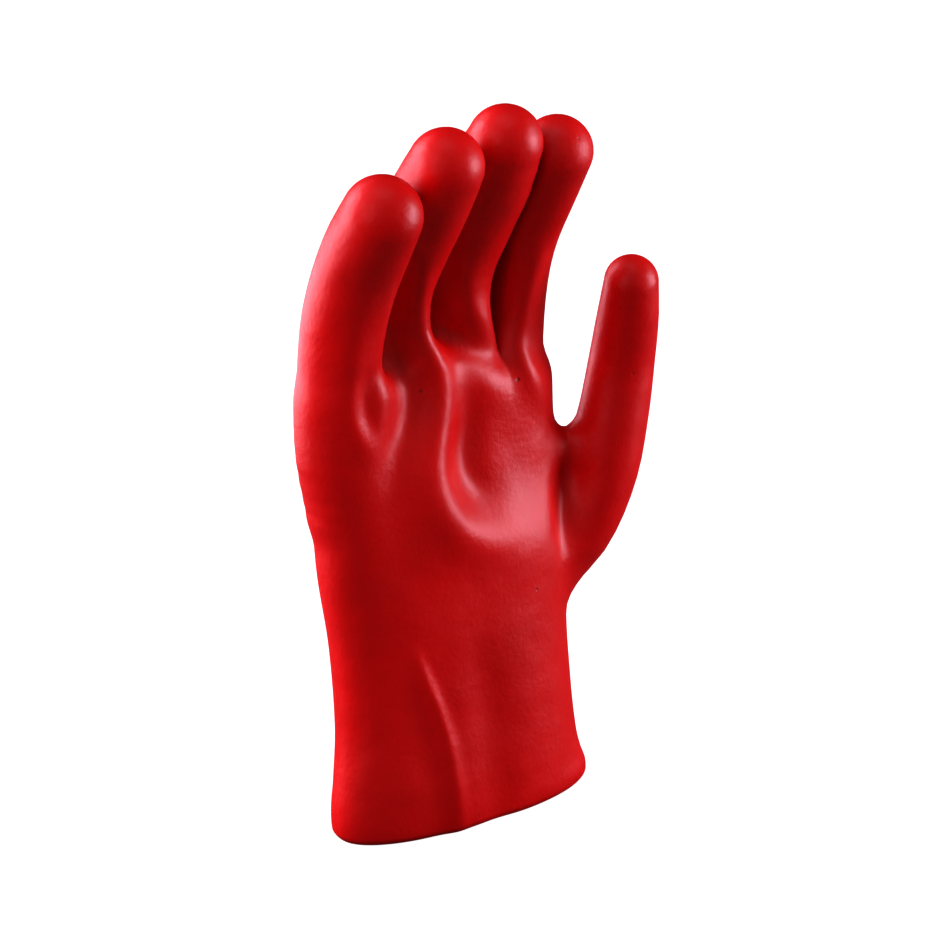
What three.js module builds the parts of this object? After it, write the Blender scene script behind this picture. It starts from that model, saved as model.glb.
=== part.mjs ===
// A full-coated PVC work glove for the right hand, standing on the edge of its cuff.
// Millimetres, +Z up. The palm faces -Y, the thumb is on the +X side and the cuff's edge lies at z = 0.
import * as THREE from 'three';

// Cuff, wrist and palm: outside widths along X, depths along Y, heights from the cuff's edge.
const cuffWidth = 107;
const cuffDepth = 42;
const wristWidth = 98;
const wristDepth = 45;
const palmWidth = 102;
const palmDepth = 46;
const wristHeight = 70;
const palmHeight = 122;
const webHeight = 172;
const knuckleSetback = 16;
const palmCup = 5;

// Fingers and thumb, each length measured along the middle line.
const fingerPitch = 25.5;
const littleLength = 119;
const ringLength = 133.5;
const middleLength = 135;
const indexLength = 127.5;
const littleDiameter = 28;
const ringDiameter = 26;
const middleDiameter = 26.5;
const indexDiameter = 25.5;
const thumbHeel = 82;
const thumbReach = 107.5;
const thumbSpread = 67;
const thumbDiameter = 26;
const fingerGap = 0.8;

// Wall of the coated cloth, and the edge of the cuff where the coating gathers.
const wall = 1.8;
const edgeWall = 2.4;
const edgeRound = 1.4;
const creaseDepth = 5;

// How softly one form runs into the next.
const webFillet = 9;
const thumbFillet = 8;
const crownFillet = 8;

// Facets of the skin: how many vertices cross one finger's palm side, and rings along its free length.
const crossing = 8;
const fingerRings = 9;
const capRings = 2;

// Sections of the cuff and wrist. Height is a share of wristHeight, left and right of cuffWidth or
// wristWidth as named, depth of cuffDepth or wristDepth, back of knuckleSetback.
const cuffSections = [
  { height: 0.00, left: 0.486, right: 0.517, depth: 0.488, back: 0.03, square: 2.2 },
  { height: 0.08, left: 0.491, right: 0.515, depth: 0.500, back: 0.03, square: 2.2 },
  { height: 0.17, left: 0.488, right: 0.493, depth: 0.505, back: 0.04, square: 2.2 },
  { height: 0.28, left: 0.476, right: 0.474, depth: 0.512, back: 0.06, square: 2.2 },
  { height: 0.57, left: 0.450, right: 0.459, depth: 0.524, back: 0.19, square: 2.2 },
];
const wristSections = [
  { height: 1.00, left: 0.498, right: 0.494, depth: 0.500, back: 0.34, square: 2.2 },
];

// Sections of the palm. Height is a share of palmHeight, left and right of palmWidth, depth of palmDepth.
const palmSections = [
  { height: 0.80, left: 0.510, right: 0.510, depth: 0.498, back: 0.51, square: 2.3 },
  { height: 1.00, left: 0.525, right: 0.478, depth: 0.478, back: 0.63, square: 2.4 },
  { height: 1.17, left: 0.545, right: 0.453, depth: 0.415, back: 0.75, square: 2.4 },
  { height: 1.33, left: 0.549, right: 0.451, depth: 0.335, back: 0.80, square: 2.5 },
  { height: 1.55, left: 0.553, right: 0.451, depth: 0.283, back: 0.78, square: 2.5 },
];

// The palm's crown under the fingers: place across in fingerPitch, height in webHeight.
const crown = [
  { across: -1.76, height: 0.965 },
  { across: -1.18, height: 0.994 },
  { across: -0.20, height: 1.029 },
  { across: 0.78, height: 0.965 },
  { across: 1.57, height: 0.930 },
];

// Fingers: place across in fingerPitch, back in knuckleSetback, web as a share of webHeight.
// Curl is the lean toward the palm in degrees at the shares of length in curlPlaces, and girth
// the thickness in shares of the diameter at the shares of length in girthPlaces.
const curlPlaces = [0.23, 0.42, 0.55, 0.64, 0.775, 0.93];
const girthPlaces = [0, 0.17, 0.38, 0.56, 0.7, 0.88, 1];
const fingers = [
  {
    across: -1.74, back: 0.6, web: 0.965, length: littleLength, diameter: littleDiameter,
    curl: [2, 8, 13, 21, 29, 36], girth: [0.6, 0.93, 1.02, 1.06, 1.06, 1.04, 0.98],
  },
  {
    across: -0.74, back: 0.78, web: 1, length: ringLength, diameter: ringDiameter,
    curl: [0, 3, 14, 26, 32, 36], girth: [0.7, 0.93, 0.97, 0.97, 1.05, 1.08, 1],
  },
  {
    across: 0.34, back: 0.86, web: 1, length: middleLength, diameter: middleDiameter,
    curl: [0, 1, 10, 22, 30, 33], girth: [0.7, 0.93, 0.97, 0.97, 1.05, 1.12, 0.98],
  },
  {
    across: 1.24, back: 0.93, web: 0.95, length: indexLength, diameter: indexDiameter,
    curl: [0, 5, 13, 21, 30, 30], girth: [0.7, 0.93, 0.98, 0.96, 0.94, 0.97, 0.98],
  },
];

// The thumb's middle line. Rise is a share of thumbReach above the heel, out of thumbSpread,
// front of thumbDiameter and girth of thumbDiameter.
const thumbSections = [
  { rise: 0.00, out: 0.700, front: -0.350, girth: 1.00 },
  { rise: 0.13, out: 0.815, front: -0.150, girth: 1.10 },
  { rise: 0.32, out: 0.935, front: 0.000, girth: 1.05 },
  { rise: 0.53, out: 1.008, front: 0.050, girth: 0.98 },
  { rise: 0.72, out: 1.044, front: 0.100, girth: 0.91 },
  { rise: 0.87, out: 1.032, front: 0.250, girth: 0.85 },
  { rise: 1.00, out: 1.010, front: 0.385, girth: 0.75 },
];

// The web of skin between palm and thumb, from one to the other. Out is a share of thumbSpread,
// back of knuckleSetback, up of webHeight and girth of thumbDiameter.
const webbing = [
  { out: 0.62, back: 0.5, up: 0.735, girth: 0.54 },
  { out: 0.93, back: 0.06, up: 0.722, girth: 0.54 },
];

// Dents and folds of the palm side. Each path runs through places across in fingerPitch and up in
// webHeight. Width is in fingerPitch, and lift in creaseDepth: above 0 is a ridge, below 0 a hollow.
const folds = {
  palmRidge: {
    across: [
      -0.83, -0.79, -0.71, -0.55, -0.42, -0.37, -0.44,
      -0.6, -0.71, -0.67, -0.46, -0.05, 0.37, 0.75, 1.2,
    ],
    up: [1.21, 1.15, 1.1, 1.045, 1, 0.96, 0.89, 0.845, 0.8, 0.74, 0.685, 0.63, 0.61, 0.6, 0.58],
    width: [0.2, 0.22, 0.23, 0.24, 0.26, 0.27, 0.3, 0.33, 0.36, 0.38, 0.4, 0.42, 0.45, 0.5, 0.5],
    lift: [0.2, 0.4, 0.55, 0.65, 0.7, 0.7, 0.75, 0.75, 0.75, 0.75, 0.75, 0.6, 0.4, 0.25, 0.15],
  },
  palmHollow: {
    across: [0.1, 0.06, -0.02, -0.1, -0.02, 0.22, 0.5],
    up: [0.93, 0.88, 0.83, 0.775, 0.73, 0.7, 0.71],
    width: [0.24, 0.28, 0.3, 0.32, 0.32, 0.34, 0.4],
    lift: [-0.1, -0.4, -0.85, -1, -1, -0.8, -0.4],
  },
  palmFloor: {
    across: [0.35, 0.6, 1.05, 1.55],
    up: [0.84, 0.78, 0.735, 0.73],
    width: [0.5, 0.56, 0.58, 0.5],
    lift: [-0.2, -0.7, -1, -0.9],
  },
  littleValley: {
    across: [-1.12, -1.06, -1.01, -0.9, -0.84, -0.89, -1.1, -1.25, -1.3, -1.24],
    up: [1.25, 1.154, 1.035, 1, 0.966, 0.894, 0.846, 0.745, 0.626, 0.45],
    width: [0.14, 0.19, 0.24, 0.25, 0.26, 0.28, 0.3, 0.38, 0.45, 0.4],
    lift: [-0.2, -0.9, -0.9, -0.75, -0.7, -0.7, -0.6, -0.45, -0.3, 0],
  },
  ringValley: {
    across: [-0.2, -0.2, -0.18, -0.12],
    up: [1.25, 1.15, 1.07, 1.02],
    width: [0.14, 0.18, 0.2, 0.2],
    lift: [-0.2, -0.8, -0.9, -0.4],
  },
  indexValley: {
    across: [0.78, 0.79, 0.82],
    up: [1.2, 1.1, 1.02],
    width: [0.14, 0.16, 0.16],
    lift: [-0.2, -0.6, -0.3],
  },
  leafRidge: {
    across: [-1.98, -1.96, -1.89, -1.79, -1.61],
    up: [1.196, 1.09, 0.985, 0.908, 0.838],
    width: [0.22, 0.22, 0.22, 0.22, 0.2],
    lift: [0.1, 0.25, 0.35, 0.35, 0.1],
  },
  leafValley: {
    across: [-1.67, -1.74, -1.68, -1.58],
    up: [1.035, 0.97, 0.928, 0.883],
    width: [0.16, 0.17, 0.17, 0.15],
    lift: [-0.15, -0.4, -0.4, -0.1],
  },
  leafBump: {
    across: [-1.4, -1.38, -1.46, -1.5],
    up: [1, 0.97, 0.93, 0.88],
    width: [0.2, 0.22, 0.22, 0.18],
    lift: [0.1, 0.25, 0.25, 0.1],
  },
  middleRidge: {
    across: [0, 0.07, 0.17, 0.44, 0.85],
    up: [1.2, 1.15, 1.1, 1.05, 0.99],
    width: [0.22, 0.24, 0.25, 0.25, 0.22],
    lift: [0.15, 0.4, 0.5, 0.5, 0.2],
  },
  middleValley: {
    across: [-0.1, -0.01, 0.33, 0.83, 1.02],
    up: [1.06, 1.04, 1, 0.955, 0.93],
    width: [0.18, 0.22, 0.24, 0.22, 0.2],
    lift: [-0.15, -0.35, -0.45, -0.3, -0.1],
  },
  middlePad: {
    across: [-0.05, 0.3, 0.8, 1.25],
    up: [0.96, 0.945, 0.92, 0.9],
    width: [0.28, 0.38, 0.42, 0.38],
    lift: [0.15, 0.35, 0.3, 0.2],
  },
  thumbCrease: {
    across: [1.68, 1.63, 1.6, 1.58],
    up: [0.7, 0.66, 0.6, 0.54],
    width: [0.18, 0.18, 0.18, 0.18],
    lift: [-0.05, -0.25, -0.4, -0.15],
  },
  indexEdge: {
    across: [1.24, 1.14, 1.08, 1.02, 1.22, 1.5],
    up: [1.2, 1.158, 1.066, 0.988, 0.915, 0.85],
    width: [0.16, 0.18, 0.2, 0.2, 0.2, 0.2],
    lift: [0.1, 0.4, 0.5, 0.45, 0.3, 0.1],
  },
  cuffRidge: {
    across: [-1.09, -0.96, -0.84, -0.7, -0.61, -0.54, -0.5],
    up: [0.417, 0.35, 0.294, 0.218, 0.123, 0.047, 0],
    width: [0.07, 0.1, 0.11, 0.13, 0.15, 0.17, 0.17],
    lift: [0.05, 0.22, 0.25, 0.25, 0.25, 0.22, 0.2],
  },
  cuffValley: {
    across: [-0.07, -0.05, 0.05, 0.15, 0.18],
    up: [0.45, 0.35, 0.25, 0.1, 0],
    width: [0.25, 0.32, 0.38, 0.38, 0.32],
    lift: [-0.05, -0.25, -0.35, -0.35, -0.35],
  },
  cuffSlope: {
    across: [-1.15, -1.05, -0.9, -0.8],
    up: [0.34, 0.25, 0.12, 0],
    width: [0.25, 0.27, 0.3, 0.3],
    lift: [-0.1, -0.2, -0.2, -0.1],
  },
};

// A smooth curve through rows: the value of each named column at a place.
function through(places, values, place) {
  const last = places.length - 1;
  const at = Math.min(Math.max(place, places[0]), places[last]);
  let i = 0;
  while (i < last - 1 && at > places[i + 1]) i += 1;
  const slope = (k) => {
    const low = Math.max(k - 1, 0);
    const high = Math.min(k + 1, last);
    return (values[high] - values[low]) / (places[high] - places[low]);
  };
  const span = places[i + 1] - places[i];
  const t = (at - places[i]) / span;
  const rise = values[i + 1] - values[i];
  const bendLow = slope(i) * span - rise;
  const bendHigh = rise - slope(i + 1) * span;
  return values[i] + t * rise + t * (1 - t) * ((1 - t) * bendLow + t * bendHigh);
}

function straight(places, values, place) {
  const last = places.length - 1;
  const at = Math.min(Math.max(place, places[0]), places[last]);
  let i = 0;
  while (i < last - 1 && at > places[i + 1]) i += 1;
  const t = (at - places[i]) / (places[i + 1] - places[i]);
  return values[i] + t * (values[i + 1] - values[i]);
}

const smallerOf = (a, b, soft) => {
  const t = Math.min(Math.max(0.5 + (0.5 * (b - a)) / soft, 0), 1);
  return b + (a - b) * t - soft * t * (1 - t);
};
const largerOf = (a, b, soft) => -smallerOf(-a, -b, soft);

// The tube of cuff and palm, its sections in millimetres.
function measured(rows, height, width, depth) {
  return rows.map((row) => ({
    height: row.height * height,
    left: -row.left * width,
    right: row.right * width,
    depth: row.depth * depth,
    back: row.back * knuckleSetback,
    square: row.square,
  }));
}
const sections = [
  ...measured(cuffSections, wristHeight, cuffWidth, cuffDepth),
  ...measured(wristSections, wristHeight, wristWidth, wristDepth),
  ...measured(palmSections, palmHeight, palmWidth, palmDepth),
];
const sectionPlaces = sections.map((row) => row.height);
const column = (name) => sections.map((row) => row[name]);
const sectionColumns = {
  left: column('left'),
  right: column('right'),
  depth: column('depth'),
  back: column('back'),
  square: column('square'),
};
function sectionAt(z) {
  const at = {};
  for (const [name, values] of Object.entries(sectionColumns)) {
    at[name] = through(sectionPlaces, values, z);
  }
  return at;
}

// The little finger's side of the palm is cupped toward the front, from cupStart to the far side.
const cupStart = 0.2 * fingerPitch;
const cupRun = 2.15 * fingerPitch;
const cupPlaces = [0, wristHeight, 1.25 * palmHeight, 1.55 * palmHeight];
const cupValues = [0, 0, palmCup, palmCup];
const eased = (t) => t * t * (3 - 2 * t);
const shareOf = (value) => Math.min(Math.max(value, 0), 1);
function cupAt(x, z) {
  return through(cupPlaces, cupValues, z) * eased(shareOf((cupStart - x) / cupRun));
}

function tubeField(x, y, z, at) {
  const half = (at.right - at.left) / 2;
  const middle = (at.right + at.left) / 2;
  const n = at.square;
  const u = Math.abs(x - middle) / half + 1e-6;
  const v = Math.abs(y - at.back + cupAt(x, z)) / at.depth + 1e-6;
  const raw = Math.pow(Math.pow(u, n) + Math.pow(v, n), 1 / n);
  const size = Math.max(raw, 0.05);
  const gx = (Math.pow(size, 1 - n) * Math.pow(u, n - 1)) / half;
  const gy = (Math.pow(size, 1 - n) * Math.pow(v, n - 1)) / at.depth;
  return (size - 1) / Math.hypot(gx, gy);
}

// Middle lines: points with the radius of the finger or thumb there.
const degrees = Math.PI / 180;
const lineSteps = 18;
function fingerLine(finger) {
  const line = [];
  const place = new THREE.Vector3(
    finger.across * fingerPitch,
    finger.back * knuckleSetback,
    palmHeight,
  );
  const step = finger.length / lineSteps;
  for (let i = 0; i <= lineSteps; i += 1) {
    const radius = (through(girthPlaces, finger.girth, i / lineSteps) * finger.diameter) / 2;
    line.push({ place: place.clone(), radius });
    const lean = straight(curlPlaces, finger.curl, (i + 0.5) / lineSteps) * degrees;
    place.y -= step * Math.sin(lean);
    place.z += step * Math.cos(lean);
  }
  return line;
}

function thumbLine() {
  const places = thumbSections.map((row) => row.rise);
  const named = (name) => thumbSections.map((row) => row[name]);
  const line = [];
  for (let i = 0; i <= lineSteps; i += 1) {
    const rise = i / lineSteps;
    line.push({
      place: new THREE.Vector3(
        through(places, named('out'), rise) * thumbSpread,
        -through(places, named('front'), rise) * thumbDiameter,
        thumbHeel + rise * thumbReach,
      ),
      radius: (through(places, named('girth'), rise) * thumbDiameter) / 2,
    });
  }
  return line;
}

const fingerLines = fingers.map(fingerLine);
const thumb = thumbLine();
const webbingLine = webbing.map((row) => ({
  place: new THREE.Vector3(row.out * thumbSpread, row.back * knuckleSetback, row.up * webHeight),
  radius: (row.girth * thumbDiameter) / 2,
}));

function lineField(x, y, z, line) {
  let nearest = Infinity;
  for (let i = 0; i + 1 < line.length; i += 1) {
    const a = line[i].place;
    const b = line[i + 1].place;
    const dx = b.x - a.x;
    const dy = b.y - a.y;
    const dz = b.z - a.z;
    const along = ((x - a.x) * dx + (y - a.y) * dy + (z - a.z) * dz) / (dx * dx + dy * dy + dz * dz);
    const t = Math.min(Math.max(along, 0), 1);
    const off = Math.hypot(x - a.x - t * dx, y - a.y - t * dy, z - a.z - t * dz);
    const radius = line[i].radius + t * (line[i + 1].radius - line[i].radius);
    nearest = Math.min(nearest, off - radius);
  }
  return nearest;
}

// Neighbouring fingers press together along a narrow gap halfway between their middle lines.
const gaps = fingers.slice(1).map((finger, i) => {
  const before = fingers[i];
  const edge = before.across * fingerPitch + before.diameter / 2;
  const next = finger.across * fingerPitch - finger.diameter / 2;
  return (edge + next) / 2;
});

const gapRound = 2.5 * fingerGap;

const crownPlaces = crown.map((row) => row.across * fingerPitch);
const crownHeights = crown.map((row) => row.height * webHeight);

// Each fold is a row of samples close together, with place, width and share of the lift in millimetres.
// Folds come in from the sides over foldFade of a section's depth.
const foldSteps = 6;
const foldReach = 2.4;
const foldFade = 0.7;
function foldSamples(fold) {
  const places = fold.across.map((value, i) => i);
  const count = foldSteps * (places.length - 1);
  const samples = [];
  for (let i = 0; i <= count; i += 1) {
    const at = i / foldSteps;
    samples.push({
      x: through(places, fold.across, at) * fingerPitch,
      z: through(places, fold.up, at) * webHeight,
      width: through(places, fold.width, at) * fingerPitch,
      lift: through(places, fold.lift, at) * creaseDepth,
    });
  }
  samples.forEach((sample, i) => {
    const before = samples[Math.max(i - 1, 0)];
    const after = samples[Math.min(i + 1, count)];
    const runBefore = Math.hypot(sample.x - before.x, sample.z - before.z);
    const runAfter = Math.hypot(after.x - sample.x, after.z - sample.z);
    sample.lift *= (runBefore + runAfter) / (2 * sample.width * Math.sqrt(Math.PI));
  });
  return samples;
}
const foldRows = Object.values(folds).flatMap(foldSamples);

function foldField(x, y, z, at) {
  const front = shareOf((at.back - cupAt(x, z) - y) / (foldFade * at.depth));
  if (front === 0) return 0;
  let lift = 0;
  for (const sample of foldRows) {
    const offX = x - sample.x;
    const offZ = z - sample.z;
    const limit = foldReach * sample.width;
    if (Math.abs(offX) > limit || Math.abs(offZ) > limit) continue;
    lift += sample.lift * Math.exp(-(offX * offX + offZ * offZ) / (sample.width * sample.width));
  }
  return -lift * eased(front);
}

// The whole outside as one field: below 0 inside the glove, above 0 outside it, in millimetres.
function gloveField(p) {
  const { x, y, z } = p;
  const at = sectionAt(z);
  const palm = largerOf(tubeField(x, y, z, at), z - straight(crownPlaces, crownHeights, x), crownFillet);
  let hand = Infinity;
  fingerLines.forEach((line, i) => {
    let finger = lineField(x, y, z, line);
    if (i > 0) finger = largerOf(finger, gaps[i - 1] + fingerGap / 2 - x, gapRound);
    if (i < gaps.length) finger = largerOf(finger, x - gaps[i] + fingerGap / 2, gapRound);
    hand = Math.min(hand, finger);
  });
  const joined = smallerOf(palm, hand, webFillet);
  const thumbSide = smallerOf(lineField(x, y, z, thumb), lineField(x, y, z, webbingLine), thumbFillet);
  const whole = smallerOf(joined, thumbSide, thumbFillet);
  const edge = Math.max(1 - z / (2 * edgeRound), 0);
  return whole + foldField(x, y, z, at) + edgeRound * edge * edge;
}

function outward(p) {
  const probe = 0.3;
  const slope = (axis) => gloveField(p.clone().addScaledVector(axis, probe))
    - gloveField(p.clone().addScaledVector(axis, -probe));
  return new THREE.Vector3(
    slope(new THREE.Vector3(1, 0, 0)),
    slope(new THREE.Vector3(0, 1, 0)),
    slope(new THREE.Vector3(0, 0, 1)),
  ).normalize();
}

// From a place inside the glove, the point of its surface in a direction. Each step goes a careful
// share of the distance left, until the point is close enough.
const careful = 0.8;
const closeEnough = 0.004;
function reach(from, direction, level = false) {
  const point = from.clone();
  for (let i = 0; i < 60; i += 1) {
    const distance = -gloveField(point);
    if (Math.abs(distance) < closeEnough) break;
    point.addScaledVector(direction, distance * careful);
  }
  return level ? point.setZ(from.z) : point;
}

// The skin is a net of rings. Below the webs each ring runs round the whole hand, and five columns
// of points, four fingers and the thumb, stand side by side in it. Above its web each column closes
// into the rings of its own finger.
const edgeLevels = [0, 1, 2.2];
const levelShares = [0.055, 0.115, 0.185, 0.26, 0.34, 0.42, 0.49, 0.55, 0.605, 0.655, 0.7, 0.735, 0.77,
  0.82, 0.87, 0.92, 0.96, 1];
const fingerWeb = edgeLevels.length + levelShares.length - 1;
const thumbWeb = fingerWeb - 5;
const sideRoom = 0.55;
const thumbLeaves = 0.75 * thumbHeel;
const fingersLeave = 0.5 * wristHeight;
const ringRise = 0.55 * webFillet;
const gatherHeight = 6 * edgeRound;
const xAxis = new THREE.Vector3(1, 0, 0);
const zAxis = new THREE.Vector3(0, 0, 1);
const columns = [...fingerLines, thumb];
const thumbColumn = columns.length - 1;

function webOf(i) {
  return i === thumbColumn ? thumbWeb : fingerWeb;
}

function levelHeight(i, level) {
  if (level < edgeLevels.length) return edgeLevels[level] * edgeRound;
  const share = levelShares[level - edgeLevels.length];
  const top = (i === thumbColumn ? fingers[thumbColumn - 1] : fingers[i]).web * webHeight;
  return share * top;
}

// Middle of a column of the palm at a level.
function palmSpine(i, level) {
  const z = levelHeight(i, level);
  const at = sectionAt(z);
  const low = at.left + sideRoom * at.depth;
  const high = at.right - sideRoom * at.depth;
  const even = low + ((high - low) * i) / thumbColumn;
  const isThumb = i === thumbColumn;
  const start = isThumb ? thumbHeel : palmHeight;
  const base = isThumb ? thumbLeaves : fingersLeave;
  let own = columns[i][0].place;
  if (isThumb && z > thumbHeel) own = alongLine(thumb, (z - thumbHeel) / thumbReach).place;
  const t = THREE.MathUtils.smoothstep(z, base, start);
  const x = even + (own.x - even) * t;
  const middle = at.back - cupAt(x, z);
  return new THREE.Vector3(x, isThumb ? middle + (own.y - middle) * t : middle, z);
}

function alongLine(line, share) {
  const at = Math.min(Math.max(share, 0), 1) * lineSteps;
  const i = Math.min(Math.floor(at), lineSteps - 1);
  const low = Math.max(i - 1, 0);
  const high = Math.min(i + 2, lineSteps);
  return {
    place: line[i].place.clone().lerp(line[i + 1].place, at - i),
    tangent: line[high].place.clone().sub(line[low].place).normalize(),
  };
}

function spineAt(i, z) {
  const length = i === thumbColumn ? thumbReach : fingers[i].length;
  return alongLine(columns[i], (z - columns[i][0].place.z) / length).place;
}

// The lowest point of the valley between two neighbouring columns.
function valleyPoint(i) {
  const web = Math.min(webOf(i), webOf(i + 1));
  const z = Math.max(levelHeight(i, web), levelHeight(i + 1, web)) + 2 * webFillet;
  const from = spineAt(i, z);
  const to = spineAt(i + 1, z);
  const tries = 60;
  const point = from.clone();
  let most = -Infinity;
  for (let k = 0; k <= tries; k += 1) {
    const place = from.clone().lerp(to, k / tries);
    const value = gloveField(place);
    if (value > most) {
      most = value;
      point.copy(place);
    }
  }
  for (let step = 0; step < 200; step += 1) {
    const distance = gloveField(point);
    if (distance < closeEnough) break;
    point.z -= distance * careful;
  }
  return point;
}
const valleys = columns.slice(1).map((line, i) => valleyPoint(i));

// Where the rings of a finger or thumb lie along its middle line, above its webs.
function ringShare(i, ring) {
  const low = i > 0 ? valleys[i - 1].z : -Infinity;
  const high = i < valleys.length && i < thumbColumn - 1 ? valleys[i].z : -Infinity;
  const length = i === thumbColumn ? thumbReach : fingers[i].length;
  const first = (Math.max(low, high) + ringRise - columns[i][0].place.z) / length;
  return first + ((1 - first) * ring) / fingerRings;
}

// Whether a column is free on one side at a level, rather than joined to its neighbour there.
function isFree(i, level, side) {
  const next = i + side;
  return next < 0 || next > thumbColumn || level > Math.min(webOf(i), webOf(next));
}

function stationOf(i, level) {
  const web = webOf(i);
  if (level <= web) {
    const place = palmSpine(i, level);
    return { place, tangent: zAxis };
  }
  return alongLine(columns[i], ringShare(i, Math.min(level - web - 1, fingerRings)));
}

const points = [];
const keep = (point) => points.push(point) - 1;
const valleyIndex = (i) => points.indexOf(valleys[i]);

// The points of one column at one level: left, front row, right and back row.
function columnRing(i, level, lift = 0) {
  const { place, tangent } = stationOf(i, level);
  const side = xAxis.clone().addScaledVector(tangent, -tangent.x).normalize();
  const front = side.clone().cross(tangent).normalize();
  const flat = level <= webOf(i);
  const aim = (direction) => direction.clone().multiplyScalar(Math.cos(lift))
    .addScaledVector(tangent, Math.sin(lift)).normalize();
  const row = (facing) => {
    const made = [];
    for (let k = 0; k < crossing; k += 1) {
      const share = (2 * k + 1) / crossing - 1;
      const sign = Math.sign(share);
      const free = isFree(i, level, sign);
      const half = free ? 0 : Math.abs(palmSpine(i + sign, level).x - place.x) / 2;
      const turn = free ? share * (crossing / (crossing + 1)) * (Math.PI / 2) : 0;
      const from = place.clone().addScaledVector(side, share * half);
      const direction = front.clone().multiplyScalar(facing * Math.cos(turn));
      direction.addScaledVector(side, Math.sin(turn));
      made.push(keep(reach(from, aim(direction), flat)));
    }
    return made;
  };
  const end = (sign) => {
    if (isFree(i, level, sign)) return keep(reach(place, aim(side.clone().multiplyScalar(sign)), flat));
    if (level < Math.min(webOf(i), webOf(i + sign))) return -1;
    return sign > 0 ? keep(valleys[i]) : valleyIndex(i - 1);
  };
  return { left: end(-1), front: row(1), right: end(1), back: row(-1) };
}

const net = columns.map((line, i) => {
  const rings = [];
  for (let level = 0; level <= webOf(i) + 1 + fingerRings; level += 1) rings.push(columnRing(i, level));
  for (let cap = 1; cap <= capRings; cap += 1) {
    rings.push(columnRing(i, rings.length, (cap / (capRings + 1)) * (Math.PI / 2)));
  }
  const { place, tangent } = stationOf(i, rings.length);
  return { rings, pole: keep(reach(place, tangent)) };
});

const faces = [];
function quad(a, b, c, d) {
  const across = points[a].distanceTo(points[c]) <= points[b].distanceTo(points[d]);
  if (across) faces.push([a, b, c], [a, c, d]);
  else faces.push([a, b, d], [b, c, d]);
}
function strip(low, high) {
  low.forEach((a, k) => {
    const next = (k + 1) % low.length;
    quad(a, low[next], high[next], high[k]);
  });
}

// The closed ring of several columns at one level.
function handRing(level, last) {
  const used = net.slice(0, last + 1).map((column) => column.rings[level]);
  const front = used.flatMap((ring) => ring.front);
  const back = used.flatMap((ring) => ring.back).reverse();
  return [used[0].left, ...front, used[last].right, ...back];
}
const ownRing = (ring) => [ring.left, ...ring.front, ring.right, ...ring.back.slice().reverse()];

for (let level = 0; level < thumbWeb; level += 1) {
  strip(handRing(level, thumbColumn), handRing(level + 1, thumbColumn));
}
for (let level = thumbWeb; level < fingerWeb; level += 1) {
  strip(handRing(level, thumbColumn - 1), handRing(level + 1, thumbColumn - 1));
}
net.forEach((column, i) => {
  for (let level = webOf(i); level + 1 < column.rings.length; level += 1) {
    strip(ownRing(column.rings[level]), ownRing(column.rings[level + 1]));
  }
  const last = ownRing(column.rings[column.rings.length - 1]);
  last.forEach((a, k) => faces.push([a, last[(k + 1) % last.length], column.pole]));
  if (i === 0) return;
  const web = Math.min(webOf(i - 1), webOf(i));
  const before = net[i - 1].rings[web];
  const after = column.rings[web];
  faces.push([before.front[crossing - 1], after.front[0], before.right]);
  faces.push([before.right, after.back[0], before.back[crossing - 1]]);
});

// The inside follows the outside at the wall's thickness, and the edge of the cuff joins them.
const edge = handRing(0, thumbColumn);
const outerPoints = points.slice();
const outerCount = outerPoints.length;
const onEdge = new Set(edge);
const innerPoints = outerPoints.map((point, i) => {
  const normal = outward(point);
  if (onEdge.has(i)) normal.setZ(0).normalize();
  const gathered = Math.max(1 - point.z / gatherHeight, 0);
  return point.clone().addScaledVector(normal, -(wall + (edgeWall - wall) * gathered));
});
const shellPoints = [...outerPoints, ...innerPoints];
const shellFaces = [...faces, ...faces.map(([a, b, c]) => [a + outerCount, c + outerCount, b + outerCount])];
edge.forEach((a, k) => {
  const b = edge[(k + 1) % edge.length];
  shellFaces.push([b, a, a + outerCount], [b, a + outerCount, b + outerCount]);
});

const shell = new THREE.BufferGeometry();
shell.setAttribute('position', new THREE.Float32BufferAttribute(shellPoints.flatMap((p) => p.toArray()), 3));
shell.setIndex(shellFaces.flat());
shell.computeVertexNormals();

// The origin is the middle of the whole glove seen from above, on the floor under its cuff.
shell.computeBoundingBox();
const middleOfGlove = shell.boundingBox.getCenter(new THREE.Vector3());
shell.translate(-middleOfGlove.x, -middleOfGlove.y, 0);

const redCoating = new THREE.MeshStandardMaterial({ color: 0xb5121b, roughness: 0.32, metalness: 0 });
const gloveShell = new THREE.Mesh(shell, redCoating);
gloveShell.name = 'glove_shell';

const glove = new THREE.Group();
glove.name = 'coated_glove';
glove.add(gloveShell);

export default glove;
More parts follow.
